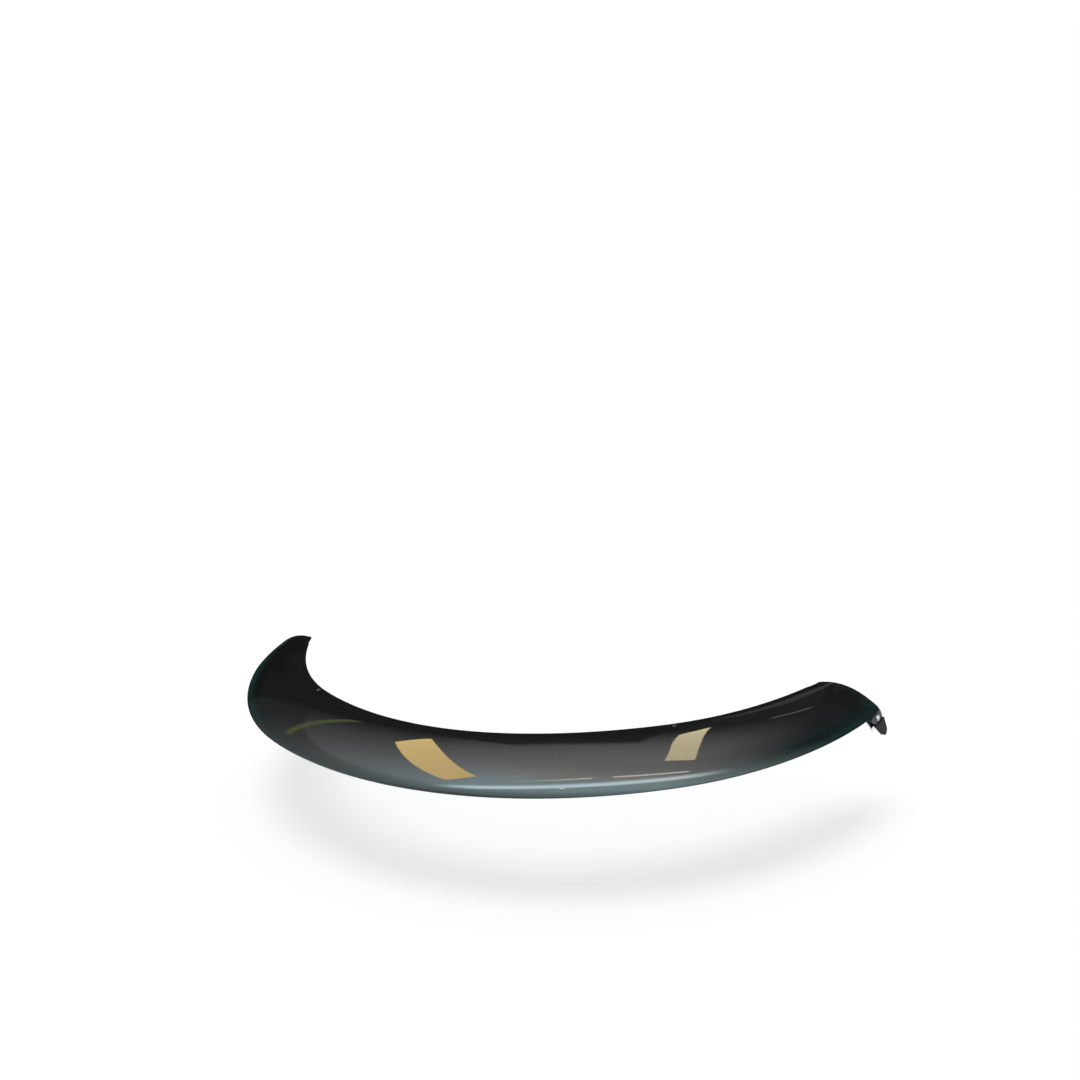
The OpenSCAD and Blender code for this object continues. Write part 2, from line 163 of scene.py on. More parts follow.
LEG_TIP = {"depth": 42.0, "y": LEG_REAR_Y + 9.0, "r": 4.5}
BOOT_WALL, BOOT_TOP = 1.5, 18.0
PAD_T = 1.5
JAW_X = LEG_X - STEEL_T - BOOT_WALL - 5.5 - PAD_T
JAW_TOP = BRIDGE_Z - STEEL_T - 0.5
JAW_TIP = {"depth": 38.0, "y": LEG_REAR_Y + 4.0, "r": 6.0}
JAW_FRONT, JAW_BEND, JAW_FLARE = 4.5, 28.0, 2.0
WASHER_T = 1.0
CLAMP_Y, CLAMP_Z, CLAMP_D = LEG_REAR_Y - 10.5, -10.5, 5.0
HEAD_X, HEAD_D, HEAD_H = JAW_X - STEEL_T - WASHER_T - SLIP, 8.5, 4.5
SCREW_END_X = LEG_X + 1.5
BUMPER_ALONG, BUMPER_SHARE = 320.0, 0.935


# ---------------------------------------------------------------- meshes
def new_object(name, verts, faces, smooth_angle=35.0):
    mesh = bpy.data.meshes.new(name)
    mesh.from_pydata([tuple(c * MM for c in v) for v in verts], [], faces)
    mesh.validate()
    obj = bpy.data.objects.new(name, mesh)
    bpy.context.scene.collection.objects.link(obj)
    tidy(obj, smooth_angle)
    return obj


def tidy(obj, smooth_angle=35.0):
    """Merges doubled points, turns all faces outwards and shades by angle."""
    bm = bmesh.new()
    bm.from_mesh(obj.data)
    bmesh.ops.remove_doubles(bm, verts=bm.verts, dist=1e-6)
    bmesh.ops.dissolve_degenerate(bm, edges=bm.edges, dist=1e-7)
    bmesh.ops.recalc_face_normals(bm, faces=bm.faces)
    for f in bm.faces:
        f.smooth = True
    limit = math.radians(smooth_angle)
    for e in bm.edges:
        if len(e.link_faces) == 2:
            e.smooth = e.calc_face_angle(0.0) < limit
    bm.to_mesh(obj.data)
    bm.free()


def bevel(obj, width, angle=40.0, segments=3):
    m = obj.modifiers.new("edges", "BEVEL")
    m.width = width * MM
    m.segments = segments
    m.limit_method = "ANGLE"
    m.angle_limit = math.radians(angle)
    m.harden_normals = False
    m.use_clamp_overlap = True


def bake(obj):
    """Applies the modifiers to the mesh."""
    bpy.context.view_layer.update()
    graph = bpy.context.evaluated_depsgraph_get()
    mesh = bpy.data.meshes.new_from_object(obj.evaluated_get(graph))
    old, obj.data = obj.data, mesh
    obj.modifiers.clear()
    name = old.name
    bpy.data.meshes.remove(old)
    mesh.name = name


def cut(obj, cutters):
    """Takes the cutters out of obj."""
    for c in cutters:
        m = obj.modifiers.new("cut", "BOOLEAN")
        m.operation = "DIFFERENCE"
        m.solver = "EXACT"
        m.object = c
    bake(obj)
    for c in cutters:
        mesh = c.data
        bpy.data.objects.remove(c)
        bpy.data.meshes.remove(mesh)


def join(name, objs):
    """One object from several, which are used up."""
    bm = bmesh.new()
    for o in objs:
        part = bmesh.new()
        part.from_mesh(o.data)
        part.transform(o.matrix_world)
        tmp = bpy.data.meshes.new("tmp")
        part.to_mesh(tmp)
        part.free()
        bm.from_mesh(tmp)
        bpy.data.meshes.remove(tmp)
        mesh = o.data
        bpy.data.objects.remove(o)
        bpy.data.meshes.remove(mesh)
    mesh = bpy.data.meshes.new(name)
    bm.to_mesh(mesh)
    bm.free()
    obj = bpy.data.objects.new(name, mesh)
    bpy.context.scene.collection.objects.link(obj)
    return obj


def mirrored(obj, name):
    """A copy on the left, with its faces turned back outwards."""
    bm = bmesh.new()
    bm.from_mesh(obj.data)
    bm.transform(Matrix.Diagonal((-1, 1, 1, 1)))
    bmesh.ops.reverse_faces(bm, faces=bm.faces)
    mesh = bpy.data.meshes.new(name)
    bm.to_mesh(mesh)
    bm.free()
    copy = bpy.data.objects.new(name, mesh)
    bpy.context.scene.collection.objects.link(copy)
    return copy


def grid_faces(rows, cols, wrap_cols=True):
    """Quads between rows of cols points each, numbered row by row."""
    faces = []
    for i in range(rows - 1):
        for j in range(cols if wrap_cols else cols - 1):
            k = (j + 1) % cols
            faces.append((i * cols + j, i * cols + k, (i + 1) * cols + k, (i + 1) * cols + j))
    return faces


def loft(name, rings, smooth_angle=35.0):
    """A closed solid through rings of the same number of points."""
    n = len(rings[0])
    verts = [p for ring in rings for p in ring]
    faces = grid_faces(len(rings), n)
    faces.append(tuple(reversed(range(n))))
    faces.append(tuple((len(rings) - 1) * n + j for j in range(n)))
    return new_object(name, verts, faces, smooth_angle)


def lathe(name, profile, steps=48, wobble=None, smooth_angle=35.0):
    """A solid of revolution about Z from (radius, height) points; the ends close on the axis.
    wobble(radius, height, angle) gives the radius where it isn't round."""
    rings = []
    for r, z in profile:
        ring = []
        for j in range(steps):
            a = 2 * math.pi * j / steps
            q = wobble(r, z, a) if wobble else r
            ring.append((q * math.cos(a), q * math.sin(a), z))
        rings.append(ring)
    return loft(name, rings, smooth_angle)


def tube(name, profile, steps=48, smooth_angle=35.0):
    """A ring-shaped solid about Z from a closed (radius, height) profile."""
    verts = []
    for j in range(steps):
        a = 2 * math.pi * j / steps
        verts += [(r * math.cos(a), r * math.sin(a), z) for r, z in profile]
    n = len(profile)
    faces = grid_faces(steps, n)
    last = (steps - 1) * n
    faces += [(last + j, last + (j + 1) % n, (j + 1) % n, j) for j in range(n)]
    return new_object(name, verts, faces, smooth_angle)


def prism(name, outline, z0, z1):
    return loft(name, [[(x, y, z) for x, y in outline] for z in (z0, z1)])


def circle(r, steps=40, x=0.0, y=0.0):
    return [
        (x + r * math.cos(2 * math.pi * j / steps), y + r * math.sin(2 * math.pi * j / steps))
        for j in range(steps)
    ]


def put(obj, matrix):
    """Moves the mesh itself, in mm."""
    m = matrix.copy()
    m.translation = m.translation * MM
    obj.data.transform(m)
    return obj


def along_x(x, y, z):
    """Turns Z to +X and moves the origin to a point."""
    return Matrix.Translation((x, y, z)) @ Matrix.Rotation(math.radians(90), 4, "Y")


# ---------------------------------------------------------------- materials
def node(tree, kind, **inputs):
    n = tree.nodes.new(kind)
    for key, value in inputs.items():
        if hasattr(n, key):
            setattr(n, key, value)
    return n


def link(tree, a, out, b, into):
    tree.links.new(a.outputs[out], b.inputs[into])


class Paint:
    """A principled material with a colour that varies, a varied roughness and a bump."""

    def __init__(self, name, **sockets):
        self.mat = bpy.data.materials.new(name)
        self.mat.use_nodes = True
        self.tree = self.mat.node_tree
        self.bsdf = self.tree.nodes["Principled BSDF"]
        for key, value in sockets.items():
            self.bsdf.inputs[key.replace("_", " ")].default_value = value
        self.coords = node(self.tree, "ShaderNodeTexCoord")

    def noise(self, scale, detail=3.0, stretch=(1, 1, 1), kind="ShaderNodeTexNoise"):
        mapping = node(self.tree, "ShaderNodeMapping")
        mapping.inputs["Scale"].default_value = stretch
        link(self.tree, self.coords, "Object", mapping, "Vector")
        n = node(self.tree, kind)
        n.inputs["Scale"].default_value = scale
        if "Detail" in n.inputs:
            n.inputs["Detail"].default_value = detail
        link(self.tree, mapping, "Vector", n, "Vector")
        return n

    def ramp(self, source, out, stops):
        r = node(self.tree, "ShaderNodeValToRGB")
        while len(r.color_ramp.elements) < len(stops):
            r.color_ramp.elements.new(0.5)
        for e, (pos, colour) in zip(r.color_ramp.elements, stops):
            e.position = pos
            e.color = (*colour, 1.0) if len(colour) == 3 else colour
        link(self.tree, source, out, r, "Fac")
        return r

    def colour(self, noise, dark, light, low=0.35, high=0.65):
        r = self.ramp(noise, "Fac" if "Fac" in noise.outputs else 0, [(low, dark), (high, light)])
        link(self.tree, r, "Color", self.bsdf, "Base Color")
        return self

    def rough(self, noise, low, high):
        m = node(self.tree, "ShaderNodeMapRange")
        m.inputs["To Min"].default_value = low
        m.inputs["To Max"].default_value = high
        link(self.tree, noise, "Fac" if "Fac" in noise.outputs else 0, m, "Value")
        link(self.tree, m, "Result", self.bsdf, "Roughness")
        return self

    def bump(self, noise, strength, distance, out=None):
        b = node(self.tree, "ShaderNodeBump")
        b.inputs["Strength"].default_value = strength
        b.inputs["Distance"].default_value = distance
        key = out or ("Fac" if "Fac" in noise.outputs else 0)
        link(self.tree, noise, key, b, "Height")
        link(self.tree, b, "Normal", self.bsdf, "Normal")
        return self


def dress(obj, paint):
    obj.data.materials.clear()
    obj.data.materials.append(paint.mat)


def smoked_acrylic():
    p = Paint("smoked_acrylic", IOR=1.49, Roughness=0.02, Transmission_Weight=0.45)
    # Painted teal reflection in the rolled lip: the base colour is teal low down, with the sheet's own
    # near-black grey above it
    split = node(p.tree, "ShaderNodeSeparateXYZ")
    link(p.tree, p.coords, "Object", split, "Vector")
    height = node(p.tree, "ShaderNodeMapRange")
    height.inputs["From Max"].default_value = 0.055
    link(p.tree, split, "Z", height, "Value")
    painted_lip_reflection = p.ramp(height, "Result", [
        (0.0, (0.014, 0.046, 0.042)),
        (0.14, (0.014, 0.034, 0.032)),
        (0.30, (0.016, 0.020, 0.019)),
        (1.0, (0.0165, 0.0165, 0.0165)),
    ])
    link(p.tree, painted_lip_reflection, "Color", p.bsdf, "Base Color")
    p.rough(p.noise(9.0), 0.015, 0.04)
    p.bump(p.noise(6.0, 1.0), 0.03, 0.01)
    return p


def plain(name, colour, rough, scale, bump=0.15, spread=0.25, distance=0.0003, **sockets):
    p = Paint(name, **sockets)
    n = p.noise(scale, 6.0)
    p.colour(n, tuple(c * (1 - spread) for c in colour), tuple(c * (1 + spread) for c in colour))
    p.rough(p.noise(scale * 0.3), rough * 0.85, min(1.0, rough * 1.2))
    p.bump(n, bump, distance)
    return p


def brushed(name, colour, rough, stretch=(1, 1, 30), scale=60.0):
    p = Paint(name, Metallic=1.0)
    n = p.noise(scale, 4.0, stretch)
    p.colour(n, tuple(c * 0.88 for c in colour), tuple(min(1.0, c * 1.05) for c in colour))
    p.rough(n, rough * 0.8, rough * 1.3)
    p.bump(n, 0.06, 0.0002)
    return p


ACRYLIC = smoked_acrylic()
FOAM = plain("foam_rubber", (0.018, 0.018, 0.019), 0.85, 1500.0, 0.5, 0.5, 0.0004,
             Specular_IOR_Level=0.1)
RUBBER = plain("black_rubber", (0.012, 0.013, 0.013), 0.6, 700.0, 0.2, 0.3, Specular_IOR_Level=0.12)
BLACK_STEEL = plain("black_steel", (0.014, 0.016, 0.016), 0.38, 500.0, 0.12, 0.3,
                    Specular_IOR_Level=0.2)
BLACK_PLASTIC = plain("black_plastic", (0.02, 0.021, 0.022), 0.45, 400.0, Specular_IOR_Level=0.2)
GREY_PLASTIC = plain("grey_plastic", (0.05, 0.055, 0.055), 0.42, 300.0, 0.1, 0.1,
                     Specular_IOR_Level=0.2)
WHITE_PLASTIC = plain("white_plastic", (0.72, 0.72, 0.69), 0.45, 300.0, 0.1, 0.06)
BRIGHT_STEEL = brushed("bright_steel", (0.76, 0.84, 0.85), 0.2)
STAINLESS = brushed("stainless", (0.62, 0.64, 0.66), 0.28, (1, 1, 1), 900.0)
BRASS = brushed("brass", (0.68, 0.5, 0.22), 0.3, (1, 1, 1), 700.0)


# ---------------------------------------------------------------- shield
ALONG_STEPS = 190
ACROSS_STEPS = 44


def shield_ring(d):
    ts = [j / ACROSS_STEPS for j in range(ACROSS_STEPS + 1)]
    outer = [place(d, section(abs(d), t)) for t in ts]
    inner = []
    for t in reversed(ts):
        p = section_under(abs(d), t)
        inner.append(place(d, (p[0], max(0.0, p[1]))))
    return outer + inner


rings = [shield_ring(i / ALONG_STEPS * EDGE_LEN) for i in range(-ALONG_STEPS, ALONG_STEPS + 1)]
shell = loft("wind_shield", rings, 30.0)
bevel(shell, 0.7, 50.0, 3)
dress(shell, ACRYLIC)
bake(shell)
tidy(shell, 40.0)
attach(shell, "shield")
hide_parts("deflector_shield")

bm = bmesh.new()
bm.from_mesh(shell.data)
skin = BVHTree.FromBMesh(bm)
bm.free()


def under_skin(x, y):
    """Height of the sheet's underside over a point, in mm."""
    hit = skin.ray_cast(Vector((x * MM, y * MM, 0.012)), Vector((0, 0, 1)))
    return hit[0].z / MM


def boss_post(k, side):
    x, y = BOSSES[k]
    steps = 40
    foot = [under_skin(side * x + px, y + py) for px, py in circle(BOSS_D / 2 + 1.6, steps)]
    z0 = TAB_Z + 0.05
    z_mid = min(foot)
    rings = []
    r0 = 3.2
    for r, z in ((r0, z0 + INSERT_LEN), (r0, z0), (5.4, z0), (6.0, z0 + 0.6), (6.0, z_mid - 2.2),
                 (6.3, z_mid - 1.2), (6.9, z_mid - 0.4)):
        rings.append([(side * x + r * math.cos(2 * math.pi * j / steps),
                       y + r * math.sin(2 * math.pi * j / steps), z) for j in range(steps)])
    r = BOSS_D / 2 + 1.6
    for lift in (-0.05, 0.6):
        ring = []
        for j in range(steps):
            px, py = r * math.cos(2 * math.pi * j / steps), r * math.sin(2 * math.pi * j / steps)
            ring.append((side * x + px, y + py, foot[j] + lift))
        rings.append(ring)
    return loft("boss", rings, 40.0)


bosses = join("boss_posts", [boss_post(k, s) for k in (0, 1) for s in (1, -1)])
tidy(bosses, 40.0)
dress(bosses, BLACK_PLASTIC)
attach(bosses, "shield")
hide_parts("deflector_shield")


# ---------------------------------------------------------------- seals
def seal_piece(name, start, end, steps):
    """A foam strip with rounded upper edges and a slightly crowned top."""
    section_points = [(0.0, 0.0), (0.15, 3.0), (0.3, 5.4), (0.9, 6.5), (2.0, 6.92), (4.5, 7.0),
                      (7.0, 6.92), (8.1, 6.5), (8.7, 5.4), (8.85, 3.0), (9.0, 0.0),
                      (6.0, 0.0), (3.0, 0.0)]
    rings = []
    for i in range(steps + 1):
        d = start + (end - start) * i / steps
        run = seal_run(abs(d))
        rings.append([place(d, (run + w, z)) for w, z in section_points])
    obj = loft(name, rings, 50.0)
    dress(obj, FOAM)
    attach(obj, "shield")
    return obj


front_seal = seal_piece("front_seal_strip", -FRONT_SEAL_LEN, FRONT_SEAL_LEN, 120)
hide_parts("front_seal")
for side, s in SIDES.items():
    arm = seal_piece(f"arm_seal_strip_{side}", s * (FRONT_SEAL_LEN + SEAL_SPLIT),
                     s * (EDGE_LEN - SEAL_BACK), 60)
    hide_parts(f"arm_seal_{side}")


# ---------------------------------------------------------------- glass bumpers
def bumper(side):
    d = BUMPER_ALONG
    button = lathe("button", [(0.01, 1.2), (1.2, 1.15), (2.2, 0.9), (2.8, 0.45), (3.0, 0.0),
                              (1.8, -0.1), (1.8, -3.0), (3.6, -3.02), (4.1, -4.0), (4.5, -5.6),
                              (4.45, -6.6), (4.0, -7.6), (3.2, -8.0), (0.01, -8.0)], 40, None, 50.0)
    before, p, after = (Vector(place(q, section(q, BUMPER_SHARE))) for q in (d - 1, d, d + 1))
    h, a = math.radians(heading(d)), math.radians(section_slope(d, BUMPER_SHARE))
    step = Matrix.Rotation(-h, 3, "Z") @ (after - before)
    fall = math.atan2(step.y * math.sin(a) - step.z * math.cos(a), step.x)
    turn = (Matrix.Translation(p) @ Matrix.Rotation(h, 4, "Z") @ Matrix.Rotation(a, 4, "X")
            @ Matrix.Rotation(fall, 4, "Y"))
    put(button, turn)
    if side < 0:
        left = mirrored(button, "button_left")
        bpy.data.objects.remove(button)
        return left
    return button


bumpers = join("bumper_studs", [bumper(1), bumper(-1)])
tidy(bumpers, 50.0)
dress(bumpers, GREY_PLASTIC)
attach(bumpers, "shield")
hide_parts("glass_bumpers")


# ---------------------------------------------------------------- bent plates
def fin_span(depth, top, front, rear, tip):
    """Front and rear edge of a raked plate with a round tip, at a depth below the roof."""
    centre = np.array([tip["depth"] - tip["r"], tip["y"]])
    spans = []
    for y, side in ((front, -1), (rear, 1)):
        run = centre - np.array([top, y])
        reach = math.hypot(*run)
        a = math.atan2(run[1], run[0]) + side * math.asin(tip["r"] / reach)
        touch_depth = top + math.sqrt(reach ** 2 - tip["r"] ** 2) * math.cos(a)
        if depth <= touch_depth:
            spans.append(y + (depth - top) * math.tan(a))
        else:
            fall = min(tip["r"], max(-tip["r"], depth - centre[0]))
            spans.append(centre[1] + side * math.sqrt(tip["r"] ** 2 - fall ** 2))
    return spans


def tip_depths(tip, top):
    """Depths down a plate, closer together round its tip."""
    centre = tip["depth"] - tip["r"]
    straight = list(np.linspace(top, centre - tip["r"] * 0.9, 14))
    return straight + [centre + tip["r"] * math.sin(math.radians(a)) for a in range(-55, 90, 8)]


def bent_path(points, radius):
    """A polyline in [x, z] with its corners rounded, as a list of (x, z, direction)."""
    out = []
    points = [np.array(p, float) for p in points]
    for i, p in enumerate(points):
        if i in (0, len(points) - 1):
            q = points[1] - points[0] if i == 0 else points[-1] - points[-2]
            out.append((p, q / np.linalg.norm(q)))
            continue
        a, b = p - points[i - 1], points[i + 1] - p
        a, b = a / np.linalg.norm(a), b / np.linalg.norm(b)
        turn = math.atan2(a[0] * b[1] - a[1] * b[0], float(a @ b))
        back = radius * math.tan(abs(turn) / 2)
        start = p - back * a
        steps = max(3, int(abs(math.degrees(turn)) / 9))
        normal = np.array([-a[1], a[0]]) * math.copysign(1, turn)
        centre = start + radius * normal
        for k in range(steps + 1):
            w = turn * k / steps
            rot = np.array([[math.cos(w), -math.sin(w)], [math.sin(w), math.cos(w)]])
            out.append((centre + rot @ (start - centre), rot @ a))
    return out


def strip(name, stations, thickness, span):
    """A plate along stations of ([x, z], direction); span(x, z) gives its front and rear y."""
    across = 8
    rings = []
    for p, direction in stations:
        normal = np.array([-direction[1], direction[0]]) * thickness / 2
        y0, y1 = span(p[0], p[1])
        ring = []
        for k in range(across + 1):
            ring.append((p[0] + normal[0], y0 + (y1 - y0) * k / across, p[1] + normal[1]))
        for k in range(across, -1, -1):
            ring.append((p[0] - normal[0], y0 + (y1 - y0) * k / across, p[1] - normal[1]))
        rings.append(ring)
    return loft(name, rings, 40.0)


def bracket_plate():
    t = STEEL_T / 2
    web_x = TAB_OUT_X - t
    top, bridge, leg = TAB_Z - t, BRIDGE_Z - t, LEG_X - t
    corners = [(TAB_IN_X, top), (web_x, top), (web_x, bridge), (leg, bridge), (leg, -12.0)]
    path = bent_path(corners, 3.0)
    # Steps along the tab for its clipped corner, then down the leg
    start, rest = path[0], path[1:-1]
    tab = [(start[0] + np.array([x, 0.0]), start[1]) for x in (0.0, TAB_CLIP, 12.0, 22.0, 30.0)]
    down = np.array([0.0, -1.0])
    legs = [(np.array([leg, -z]), down) for z in tip_depths(LEG_TIP, 6.5)]
    rear_tab = TAB_Y + TAB_LEN

    def span(x, z):
        if x > LEG_X - STEEL_T and z < -6.0:
            return fin_span(-z, -BRIDGE_Z, TAB_Y, LEG_REAR_Y, LEG_TIP)
        if z > TAB_Z - STEEL_T:
            clip = max(0.0, TAB_CLIP - (x - TAB_IN_X))
            flare = max(0.0, x - (TAB_OUT_X - 7.0)) / 4.5
            return TAB_Y, rear_tab - clip + min(1.0, flare) * (LEG_REAR_Y - rear_tab)
        return TAB_Y, LEG_REAR_Y

    plate = strip("bracket", tab + rest + legs, STEEL_T, span)
    cutters = []
    for x, y in BOSSES:
        slot = []
        for j in range(40):
            a = 2 * math.pi * j / 40
            slot.append((x + SLOT_D / 2 * math.cos(a),
                         y + SLOT_D / 2 * math.sin(a) + math.copysign(SLOT_TRAVEL, math.sin(a))))
        cutters.append(prism("slot", slot, TAB_Z - 5, TAB_Z + 2))
    hole = prism("hole", circle(3.25), -4, 4)
    cutters.append(put(hole, along_x(leg, CLAMP_Y, CLAMP_Z)))
    cut(plate, cutters)
    return plate


def jaw_plate():
    t = STEEL_T / 2
    x = JAW_X - t
    path = bent_path([(x, JAW_TOP), (x, -JAW_BEND), (x - JAW_FLARE, -JAW_TIP["depth"])], 6.0)
    depths = tip_depths(JAW_TIP, -JAW_TOP)
    bend_top, bend_end = -path[1][0][1], -path[-2][0][1]
    stations = [(np.array([x, -z]), np.array([0.0, -1.0])) for z in depths if z < bend_top - 0.3]
    stations += path[1:-1]
    foot, foot_dir = path[-2]
    for z in depths:
        if z > bend_end + 0.3:
            stations.append((foot + foot_dir * (z - bend_end) / -foot_dir[1], foot_dir))

    def span(x, z):
        return fin_span(-z, -JAW_TOP, TAB_Y + JAW_FRONT, LEG_REAR_Y, JAW_TIP)

    plate = strip("jaw", stations, STEEL_T, span)
    hole = prism("hole", circle(CLAMP_D / 2 + 0.05), -4, 4)
    cut(plate, [put(hole, along_x(x, CLAMP_Y, CLAMP_Z))])
    return plate


def boot():
    """A moulded cap on the leg, with grip ribs on the side that meets the flange."""
    thick = STEEL_T + 2 * BOOT_WALL
    mid = LEG_X - STEEL_T / 2
    tip = {"depth": LEG_TIP["depth"] + BOOT_WALL, "y": LEG_TIP["y"], "r": LEG_TIP["r"] + BOOT_WALL}

    def span(x, z):
        front, rear = fin_span(-z, -BRIDGE_Z, TAB_Y - 2.0, LEG_REAR_Y + 1.6, tip)
        return front, rear

    down = np.array([0.0, -1.0])
    depths = [z for z in tip_depths(tip, BOOT_TOP)]
    cap = strip("boot", [(np.array([mid, -z]), down) for z in depths], thick, span)
    bevel(cap, 0.7, 50.0, 3)
    bake(cap)
    pieces = [cap]
    inner = LEG_X - STEEL_T - BOOT_WALL
    for z in range(21, 38, 3):
        front, rear = span(0, -z)
        front, rear = front + 1.8, rear - 1.8
        pieces.append(loft("rib", [
            [(inner + 0.3, y, -z - 0.7), (inner - 0.0, y, -z - 0.45), (inner - 0.0, y, -z + 0.45),
             (inner + 0.3, y, -z + 0.7)] for y in (front, rear)]))
    return pieces


def clamp_pad():
    """The jaw's rubber pad: ribs across its face."""
    y0, y1 = CLAMP_Y, CLAMP_Y + 13.0
    x0, x1 = JAW_X, JAW_X + 1.5
    profile = [(x0, -15.5)]
    z = -15.5
    while z > -27.0 + 0.5:
        for dx, dz in ((1.0, 0.15), (1.5, 0.5), (1.5, 1.3), (1.0, 1.75)):
            profile.append((x0 + dx, z - dz))
        z -= 1.9
    profile = [p for p in profile if p[1] > -26.9] + [(x0 + 1.0, -27.0), (x0, -27.0)]
    rings = [[(x, y, z) for x, z in profile] for y in (y0, y0 + 0.01, y1 - 0.01, y1)]
    return loft("pad", rings, 40.0)


# ---------------------------------------------------------------- screws and small parts
def thread(r, length, pitch=0.8, depth=0.42, steps=36):
    """A threaded shank about Z, from z = 0 upwards, with a chamfered end."""
    per = 8
    n = int(length / pitch * per)
    rings = []
    for i in range(n + 1):
        z = length * i / n
        end = min(1.0, (length - z) / 0.8)
        ring = []
        for j in range(steps):
            a = j / steps
            phase = (z / pitch - a) % 1.0
            tooth = 1 - abs(2 * phase - 1)
            q = r - depth * (1 - min(1.0, max(0.0, tooth * 1.25 - 0.1)))
            q = min(q, r - 0.6 + 0.6 * end)
            ring.append((q * math.cos(2 * math.pi * a), q * math.sin(2 * math.pi * a), z))
        rings.append(ring)
    return loft("thread", rings, 60.0)


def socket_screw():
    """The clamp screw: a knurled socket head, then its shank out to the far end, about Z."""
    steps = 96
    flutes = 32

    def knurl(r, z, a):
        if r > HEAD_D / 2 - 0.02 and 0.7 < z < HEAD_H - 0.5:
            return r - 0.12 * (0.5 + 0.5 * math.cos(flutes * a))
        return r

    r = HEAD_D / 2
    head = lathe("head", [(3.4, 0.0), (r - 0.45, 0.0), (r - 0.12, 0.3), (r, 0.72), (r, 1.6), (r, 2.6),
                          (r, 3.6), (r, HEAD_H - 0.52), (r - 0.06, HEAD_H - 0.3), (r - 0.2, HEAD_H),
                          (2.6, HEAD_H)], steps, knurl, 30.0)
    hexagon = [(2.3 * math.cos(math.radians(60 * k)), 2.3 * math.sin(math.radians(60 * k)))
               for k in range(6)]
    cut(head, [prism("socket", hexagon, -1.0, 2.6)])
    shank_from = HEAD_H - 0.2
    plain_len = JAW_X - HEAD_X + 2.2
    neck_end = HEAD_H + plain_len
    neck = lathe("neck", [(2.5, shank_from), (2.5, neck_end), (2.12, neck_end + 0.3)], 48, None, 30.0)
    bolt = thread(CLAMP_D / 2, SCREW_END_X - HEAD_X - plain_len - 0.1)
    put(bolt, Matrix.Translation((0, 0, HEAD_H + plain_len + 0.1)))
    whole = join("clamp_bolt", [head, neck, bolt])
    put(whole, along_x(HEAD_X - HEAD_H, CLAMP_Y, CLAMP_Z))
    return whole


def retaining_clip():
    """An open spring ring on the screw, behind the jaw."""
    steps = 40
    gap = math.radians(38)
    rings = []
    for j in range(steps + 1):
        a = math.radians(90) + gap + (2 * math.pi - 2 * gap) * j / steps
        c, s = math.cos(a), math.sin(a)
        rings.append([(r * c, r * s, z) for r, z in ((2.56, 0.0), (3.9, 0.0), (4.0, 0.12), (4.0, 0.68),
                                                      (3.9, 0.8), (2.56, 0.8))])
    ring = loft("clip", rings, 40.0)
    return put(ring, along_x(JAW_X + 0.05, CLAMP_Y, CLAMP_Z))


def nut():
    """A clinch nut: its barrel in the leg and a flange outside, bored through."""
    ring = tube("nut", [(2.55, 0.0), (3.2, 0.0), (3.24, 0.1), (3.24, 2.5), (3.8, 2.5), (4.0, 2.7),
                        (4.0, 3.25), (3.8, 3.5), (2.9, 3.5), (2.55, 3.15)], 64, 40.0)
    return put(ring, along_x(LEG_X - STEEL_T, CLAMP_Y, CLAMP_Z))


def ring_washer(r_in, r_out, height):
    e = 0.12
    return tube("washer", [(r_in, e), (r_in + e, 0.0), (r_out - e, 0.0), (r_out, e),
                           (r_out, height - e), (r_out - e, height), (r_in + e, height),
                           (r_in, height - e)], 64, 50.0)


def fixing_screw(x, y):
    """A pan-head screw from below, with a cross recess and a threaded end."""
    seat = TAB_Z - STEEL_T - 0.05 - 1.0
    head = lathe("pan", [(0.01, -2.6), (1.6, -2.58), (2.8, -2.4), (3.5, -1.95), (3.9, -1.2), (4.0, -0.5),
                         (4.0, -0.12), (3.88, 0.0), (0.01, 0.0)], 64, None, 50.0)
    cutters = []
    for turn in (0, 90):
        bar = prism("bar", [(-2.2, -0.42), (2.2, -0.42), (2.2, 0.42), (-2.2, 0.42)], -3.2, -1.3)
        cutters.append(put(bar, Matrix.Rotation(math.radians(turn), 4, "Z")))
    cut(head, cutters)
    shank = lathe("shank", [(2.0, -0.1), (2.0, 3.7), (1.75, 3.9)], 40, None, 40.0)
    bolt = thread(2.0, 5.6, 0.7, 0.36)
    put(bolt, Matrix.Translation((0, 0, 3.85)))
    whole = join("screw", [head, shank, bolt])
    return put(whole, Matrix.Translation((x, y, seat)))


def insert_sleeve(x, y):
    """A brass sleeve with a groove round its middle."""
    profile = [(2.05, 0.3), (2.35, 0.0), (2.9, 0.0), (3.18, 0.3), (3.18, 2.5), (2.85, 2.7), (2.85, 3.3),
               (3.18, 3.5), (3.18, 5.8), (3.0, 6.0), (2.05, 6.0)]
    sleeve = tube("insert", profile, 64, 40.0)
    return put(sleeve, Matrix.Translation((x, y, TAB_Z + 0.05)))


def on_both(make, name, paint, body, node_name, edge=None):
    """One piece on each side, each on its own body and in place of its own CAD node."""
    made = make()
    made = made if isinstance(made, list) else [made]
    right = join(f"{name}_right", made)
    tidy(right, 40.0)
    if edge:
        bevel(right, edge, 35.0, 2)
        bake(right)
        tidy(right, 40.0)
    left = mirrored(right, f"{name}_left")
    tidy(left, 40.0)
    for obj, side in ((right, "right"), (left, "left")):
        dress(obj, paint)
        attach(obj, f"{body}_{side}")
        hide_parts(f"{node_name}_{side}")


